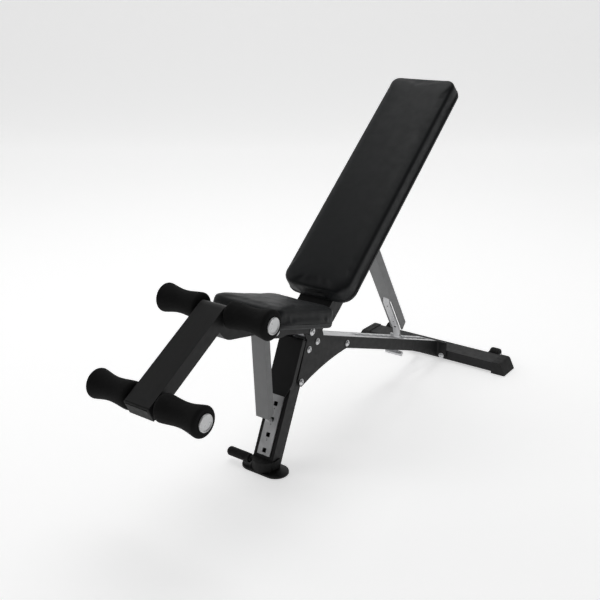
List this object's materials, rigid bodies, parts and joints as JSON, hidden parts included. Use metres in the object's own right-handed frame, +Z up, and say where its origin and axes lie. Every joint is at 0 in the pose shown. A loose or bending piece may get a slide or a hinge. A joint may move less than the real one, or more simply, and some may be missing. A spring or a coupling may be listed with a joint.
{
  "type": "adjustable weight bench",
  "caption": "Adjustable weight bench: strutted reclining back pad, tilting seat pad, foam-roller leg hold-down arm, notched rail, leaning front post and wide rear tube with transport wheels.",
  "frame": {"origin": "on the floor, under the middle of the bench's length and width", "axes": "+X to the left of a sitter who faces the rollers, +Y along the bench from the leg rollers to the rear cross tube, +Z up"},
  "size_m": [0.6168, 1.6024, 1.0284],
  "materials": {
    "frame_paint": "satin black powder coat with fine orange peel",
    "strut_paint": "silver grey paint, satin",
    "zinc_steel": "bright zinc plate, fine brushed grain",
    "pad_vinyl": "black vinyl upholstery, fine grain, stitched seams",
    "roller_foam": "matt closed-cell foam",
    "black_rubber": "matt black rubber and moulded plastic",
    "pad_board": "plain plywood, covered by the black backing cloth",
    "bar_end_plastic": "glossy light grey end plug"
  },
  "bodies": {
    "root": {"front_post": "frame_paint", "post_ladder_plate": "zinc_steel", "post_cover": "frame_paint", "front_foot_plate": "frame_paint", "front_foot_boot": "black_rubber", "lift_handle_bar": "frame_paint", "lift_handle_grip": "black_rubber", "side_plate_left": "frame_paint", "side_plate_right": "frame_paint", "ladder_rail": "zinc_steel", "frame_bolt_1": "zinc_steel", "frame_bolt_2": "zinc_steel", "frame_bolt_3": "zinc_steel", "frame_bolt_4": "zinc_steel", "rear_cross_tube": "frame_paint", "rear_cap_left": "black_rubber", "rear_cap_right": "black_rubber", "rear_bolt_left": "zinc_steel", "rear_bolt_right": "zinc_steel", "wheel_bracket_left": "frame_paint", "wheel_bracket_right": "frame_paint", "wheel_axle_left": "zinc_steel", "wheel_axle_right": "zinc_steel", "back_pivot_bolt": "zinc_steel", "seat_pivot_bolt": "zinc_steel"},
    "wheel_left": {"transport_wheel_left": "black_rubber"},
    "wheel_right": {"transport_wheel_right": "black_rubber"},
    "back_hinge": {"back_pivot_tube": "frame_paint"},
    "backrest": {"back_hinge_bracket": "frame_paint", "back_spine": "frame_paint", "back_cross_plate_lower": "frame_paint", "back_cross_plate_upper": "frame_paint", "back_board": "pad_board", "back_pad": "pad_vinyl"},
    "back_strut_link": {"back_strut_pin": "zinc_steel"},
    "back_strut": {"back_strut": "strut_paint", "back_strut_tongue": "zinc_steel", "back_strut_catch": "zinc_steel"},
    "seat": {"seat_channel": "frame_paint", "seat_board": "pad_board", "seat_pad": "pad_vinyl", "leg_arm_neck": "frame_paint", "leg_arm": "frame_paint", "leg_arm_cap": "black_rubber", "roller_bar_upper": "zinc_steel", "roller_bar_lower": "zinc_steel", "bar_end_upper_left": "bar_end_plastic", "bar_end_upper_right": "bar_end_plastic", "bar_end_lower_left": "bar_end_plastic", "bar_end_lower_right": "bar_end_plastic", "seat_pivot_tube": "frame_paint"},
    "seat_strut": {"seat_strut": "strut_paint", "seat_strut_hook": "zinc_steel", "seat_strut_pin": "zinc_steel"},
    "roller_upper_left": {"foam_roller_upper_left": "roller_foam"},
    "roller_upper_right": {"foam_roller_upper_right": "roller_foam"},
    "roller_lower_left": {"foam_roller_lower_left": "roller_foam"},
    "roller_lower_right": {"foam_roller_lower_right": "roller_foam"}
  },
  "joints": [
    {"name": "back_recline", "type": "hinge", "parent": "root", "child": "back_hinge", "pos_m": [0, -0.09657, 0.3962], "axis": [1, 0, 0], "range_deg": [-40.5, 0]},
    {"name": "back_raise", "type": "hinge", "parent": "back_hinge", "child": "backrest", "pos_m": [0, -0.09657, 0.3962], "axis": [1, 0, 0], "range_deg": [0, 34.5]},
    {"name": "strut_fold_a", "type": "hinge", "parent": "backrest", "child": "back_strut_link", "pos_m": [0, 0.19143, 0.58036], "axis": [1, 0, 0], "range_deg": [0, 68]},
    {"name": "strut_fold_b", "type": "hinge", "parent": "back_strut_link", "child": "back_strut", "pos_m": [0, 0.19143, 0.58036], "axis": [1, 0, 0], "range_deg": [-47, 0]},
    {"name": "seat_lower", "type": "hinge", "parent": "root", "child": "seat", "pos_m": [0, -0.17577, 0.39], "axis": [1, 0, 0], "range_deg": [0, 28]},
    {"name": "seat_strut_fold", "type": "hinge", "parent": "seat", "child": "seat_strut", "pos_m": [0, -0.34019, 0.44298], "axis": [1, 0, 0], "range_deg": [-34.4, 0]},
    {"name": "roller_upper_left_spin", "type": "hinge", "parent": "seat", "child": "roller_upper_left", "pos_m": [0.112, -0.51097, 0.54352], "axis": [1, 0, 0], "continuous": true},
    {"name": "roller_upper_right_spin", "type": "hinge", "parent": "seat", "child": "roller_upper_right", "pos_m": [-0.112, -0.51097, 0.54352], "axis": [1, 0, 0], "continuous": true},
    {"name": "roller_lower_left_spin", "type": "hinge", "parent": "seat", "child": "roller_lower_left", "pos_m": [0.112, -0.76039, 0.39188], "axis": [1, 0, 0], "continuous": true},
    {"name": "roller_lower_right_spin", "type": "hinge", "parent": "seat", "child": "roller_lower_right", "pos_m": [-0.112, -0.76039, 0.39188], "axis": [1, 0, 0], "continuous": true},
    {"name": "wheel_left_spin", "type": "hinge", "parent": "root", "child": "wheel_left", "pos_m": [0.2205, 0.77673, 0.0253], "axis": [1, 0, 0], "continuous": true},
    {"name": "wheel_right_spin", "type": "hinge", "parent": "root", "child": "wheel_right", "pos_m": [-0.2205, 0.77673, 0.0253], "axis": [1, 0, 0], "continuous": true}
  ],
  "couplings": [
    {"joint": "strut_fold_a", "follows": "back_recline", "ratio": -1.6771},
    {"joint": "strut_fold_b", "follows": "back_raise", "ratio": -1.3612},
    {"joint": "seat_strut_fold", "follows": "seat_lower", "ratio": -1.2273}
  ]
}
